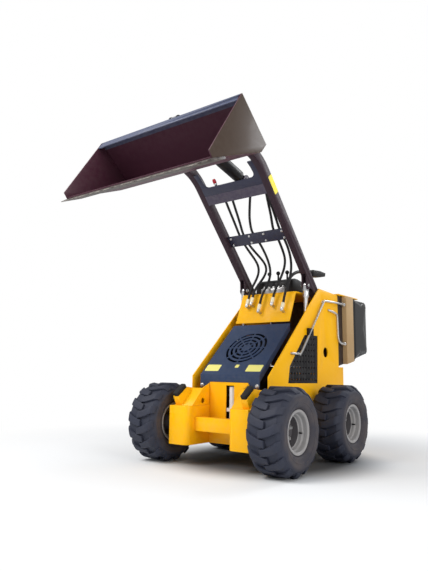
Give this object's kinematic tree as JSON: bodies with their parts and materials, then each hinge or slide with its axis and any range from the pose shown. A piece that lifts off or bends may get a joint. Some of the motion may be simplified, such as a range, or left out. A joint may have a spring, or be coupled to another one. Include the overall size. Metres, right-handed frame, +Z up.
{
  "type": "mini skid steer loader",
  "caption": "Compact stand-on skid steer loader with raised lift arms, a front bucket on a tilting coupler, hydraulic cylinders and four lugged wheels.",
  "frame": {"origin": "on the ground, midway between the axles and between the tyres", "axes": "+X forwards to the bucket, +Y to the machine's left, +Z up"},
  "size_m": [2.2359, 1.055, 1.913],
  "materials": {
    "yellow": "gloss",
    "black_paint": "satin",
    "bucket_paint": "satin",
    "worn_steel": "worn",
    "plain_steel": "satin",
    "chrome_rod": "polished",
    "tyre_rubber": "matte",
    "rim_silver": "satin",
    "soft_rubber": "matte",
    "black_plastic": "matte",
    "rear_frame": "satin",
    "tan_board": "matte",
    "pad_cover": "satin"
  },
  "bodies": {
    "chassis": {"chain_cases": "yellow", "belly": "yellow", "front_plate": "yellow", "cross_beam": "yellow", "gussets": "yellow", "bumpers": "soft_rubber", "side_towers": "yellow", "vents": "black_paint", "hood": "black_paint", "bulkhead": "yellow", "deck": "yellow", "rear_panel": "yellow", "rear_box": "rear_frame", "pad_backing": "tan_board", "operator_pad": "pad_cover", "console": "black_plastic", "valve_block": "plain_steel", "levers": "black_plastic", "grab_bar": "black_plastic", "pipes": "plain_steel", "pipe_fittings": "plain_steel", "pipe_clamps": "black_plastic", "engine": "plain_steel", "axles": "plain_steel", "filter": "plain_steel", "cylinder_mounts": "black_paint", "hose_fittings": "plain_steel", "pivot_pins": "plain_steel", "hoses": "soft_rubber"},
    "wheel_fl": {"tyre_fl": "tyre_rubber", "rim_fl": "rim_silver"},
    "wheel_fr": {"tyre_fr": "tyre_rubber", "rim_fr": "rim_silver"},
    "wheel_rl": {"tyre_rl": "tyre_rubber", "rim_rl": "rim_silver"},
    "wheel_rr": {"tyre_rr": "tyre_rubber", "rim_rr": "rim_silver"},
    "boom": {"arm_left": "black_paint", "arm_right": "black_paint", "cross_plate": "black_paint", "cross_tube": "black_paint", "window_plate": "black_paint", "boom_pins": "plain_steel", "boom_hoses": "soft_rubber"},
    "bucket": {"bucket_shell": "bucket_paint", "bucket_sides": "bucket_paint", "cutting_edge": "worn_steel", "coupler": "black_paint"},
    "lift_barrel_left": {"lift_barrel_l": "black_paint"},
    "lift_barrel_right": {"lift_barrel_r": "black_paint"},
    "lift_rod_left": {"lift_rod_l": "chrome_rod"},
    "lift_rod_right": {"lift_rod_r": "chrome_rod"},
    "tilt_barrel_body": {"tilt_barrel": "black_paint"},
    "tilt_rod_body": {"tilt_rod": "chrome_rod"}
  },
  "joints": [
    {"name": "wheel_fl_spin", "type": "hinge", "parent": "chassis", "child": "wheel_fl", "pos_m": [0.335, 0.42, 0.2285], "axis": [0, 1, 0], "continuous": true},
    {"name": "wheel_fr_spin", "type": "hinge", "parent": "chassis", "child": "wheel_fr", "pos_m": [0.335, -0.42, 0.2285], "axis": [0, 1, 0], "continuous": true},
    {"name": "wheel_rl_spin", "type": "hinge", "parent": "chassis", "child": "wheel_rl", "pos_m": [-0.335, 0.42, 0.2285], "axis": [0, 1, 0], "continuous": true},
    {"name": "wheel_rr_spin", "type": "hinge", "parent": "chassis", "child": "wheel_rr", "pos_m": [-0.335, -0.42, 0.2285], "axis": [0, 1, 0], "continuous": true},
    {"name": "boom_lift", "type": "hinge", "parent": "chassis", "child": "boom", "pos_m": [-0.425, 0, 0.987], "axis": [0, -1, 0], "range_deg": [-67.5, 0], "deforming": ["hoses"]},
    {"name": "bucket_tilt", "type": "hinge", "parent": "boom", "child": "bucket", "pos_m": [0.7414, 0, 1.83235], "axis": [0, 1, 0], "range_deg": [-112, 20]},
    {"name": "lift_barrel_left_swing", "type": "hinge", "parent": "chassis", "child": "lift_barrel_left", "pos_m": [-0.24, 0.241, 0.395], "axis": [0, -1, 0], "range_deg": [-0.2, 2.46]},
    {"name": "lift_rod_left_slide", "type": "slide", "parent": "lift_barrel_left", "child": "lift_rod_left", "axis": [-0.0265, 0, 0.9996], "range_m": [-0.2169, 0.003]},
    {"name": "lift_barrel_right_swing", "type": "hinge", "parent": "chassis", "child": "lift_barrel_right", "pos_m": [-0.24, -0.241, 0.395], "axis": [0, -1, 0], "range_deg": [-0.2, 2.46]},
    {"name": "lift_rod_right_slide", "type": "slide", "parent": "lift_barrel_right", "child": "lift_rod_right", "axis": [-0.0265, 0, 0.9996], "range_m": [-0.2169, 0.003]},
    {"name": "tilt_barrel_swing", "type": "hinge", "parent": "boom", "child": "tilt_barrel_body", "pos_m": [0.10995, 0, 1.73515], "axis": [0, 1, 0], "range_deg": [-0.79, 3.49]},
    {"name": "tilt_rod_slide", "type": "slide", "parent": "tilt_barrel_body", "child": "tilt_rod_body", "axis": [0.9736, 0, 0.2281], "range_m": [-0.0994, 0.0202]}
  ],
  "couplings": [
    {"joint": "lift_barrel_left_swing", "follows": "boom_lift", "ratio": -0.031926},
    {"joint": "lift_rod_left_slide", "follows": "boom_lift", "m_per_rad": 0.18156},
    {"joint": "lift_barrel_right_swing", "follows": "boom_lift", "ratio": -0.031926},
    {"joint": "lift_rod_right_slide", "follows": "boom_lift", "m_per_rad": 0.18156},
    {"joint": "tilt_barrel_swing", "follows": "bucket_tilt", "ratio": -0.029355},
    {"joint": "tilt_rod_slide", "follows": "bucket_tilt", "m_per_rad": 0.049293}
  ]
}
